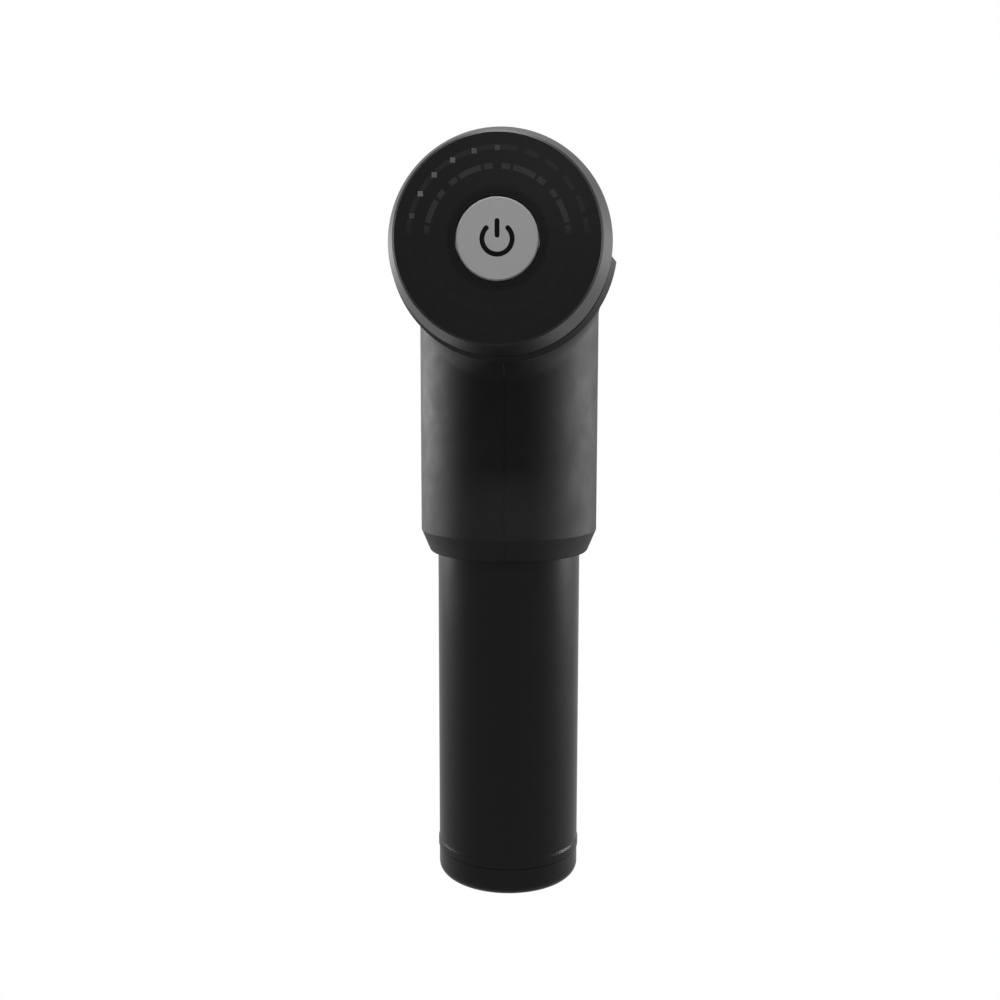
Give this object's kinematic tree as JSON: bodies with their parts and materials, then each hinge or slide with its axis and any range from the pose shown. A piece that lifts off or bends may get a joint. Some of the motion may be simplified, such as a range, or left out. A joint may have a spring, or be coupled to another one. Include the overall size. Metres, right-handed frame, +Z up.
{
  "type": "massage gun",
  "caption": "Handheld massage gun: round rear display with power button in a bevelled ring, crank-driven plunger with ball head, and a removable cylindrical battery grip.",
  "frame": {"origin": "centre of the flat base of the grip", "axes": "+Z up along the grip, +Y towards the massage head, the display faces -Y, +X to the right of someone facing the display; symmetric about X = 0"},
  "size_m": [0.0616, 0.1773, 0.221],
  "materials": {
    "housing_plastic": "fine-grained satin black",
    "inner_plastic": "dark grey nylon",
    "steel": "ground",
    "seal_rubber": "matt",
    "bronze": "sintered bronze",
    "bezel_metal": "satin gunmetal grey",
    "lens_plastic": "smoked gloss",
    "window_plastic": "translucent dark grey",
    "light_guide_plastic": "clear milky",
    "led": "white",
    "board": "green solder mask",
    "chip": "moulded black",
    "contact_brass": "plated",
    "can_steel": "zinc plated",
    "lamination": "laminated",
    "copper": "enamelled wire",
    "chrome_steel": "polished",
    "aluminium": "machined",
    "button_metal": "satin light grey",
    "symbol_plastic": "matt black inlay",
    "magnet": "sintered",
    "ball_rubber": "soft matt",
    "grip_plastic": "smooth semi-gloss black",
    "cell_wrap": "shrink sleeve"
  },
  "bodies": {
    "housing": {"handle_housing_left": "housing_plastic", "handle_housing_right": "housing_plastic", "battery_sleeve": "inner_plastic", "head_barrel": "housing_plastic", "nose_cap": "housing_plastic", "nose_screws": "steel", "dust_seal": "seal_rubber", "front_bushing_carrier": "inner_plastic", "front_bushing": "bronze", "rear_bushing_carrier": "inner_plastic", "rear_bushing": "bronze", "bezel_ring": "bezel_metal", "display_lens": "lens_plastic", "level_windows": "window_plastic", "speed_windows": "window_plastic", "light_guide": "light_guide_plastic", "led_chips": "led", "display_board": "board", "display_carrier": "inner_plastic", "button_spring": "steel", "button_switch": "chip", "controller_board": "board", "board_standoffs": "contact_brass", "board_screws": "steel", "controller_parts": "chip", "motor_can": "can_steel", "motor_stator": "lamination", "motor_windings": "copper", "motor_bearings": "chrome_steel", "motor_plate": "aluminium", "motor_screws": "steel", "terminal_block": "inner_plastic", "terminal_pins": "contact_brass"},
    "power_button": {"power_button": "button_metal", "power_symbol": "symbol_plastic"},
    "rotor": {"motor_shaft": "steel", "rotor_magnets": "magnet", "crank_disc": "steel", "crank_pin": "chrome_steel", "crank_roller": "chrome_steel"},
    "plunger": {"plunger_yoke": "steel", "plunger_shaft": "aluminium", "plunger_guide_rod": "steel"},
    "attachment": {"attachment_stem": "inner_plastic", "stem_rings": "seal_rubber", "ball_head": "ball_rubber"},
    "battery_pack": {"grip_tube": "grip_plastic", "grip_ring": "grip_plastic", "grip_cap": "grip_plastic", "charging_jack": "chip", "battery_cells": "cell_wrap", "cell_holders": "inner_plastic", "protection_board": "board", "pack_top_cap": "inner_plastic", "pack_contacts": "contact_brass"}
  },
  "joints": [
    {"name": "button_press", "type": "slide", "parent": "housing", "child": "power_button", "axis": [0, 1, 0], "range_m": [0, 0.0008], "stiffness_N_per_m": 600, "springref_m": -0.0005, "deforming": ["button_spring"]},
    {"name": "crank_turn", "type": "hinge", "parent": "housing", "child": "rotor", "pos_m": [0, 0, 0.18], "axis": [0, 0, 1], "range_deg": [-90, 90]},
    {"name": "plunger_slide", "type": "slide", "parent": "housing", "child": "plunger", "axis": [0, 1, 0], "range_m": [-0.005, 0.005]},
    {"name": "attachment_pull", "type": "slide", "parent": "plunger", "child": "attachment", "axis": [0, 1, 0], "range_m": [0, 0.045]},
    {"name": "battery_pull", "type": "slide", "parent": "housing", "child": "battery_pack", "axis": [0, 0, -1], "range_m": [0, 0.06]}
  ],
  "couplings": [
    {"joint": "crank_turn", "follows": "plunger_slide", "rad_per_m": 314}
  ]
}
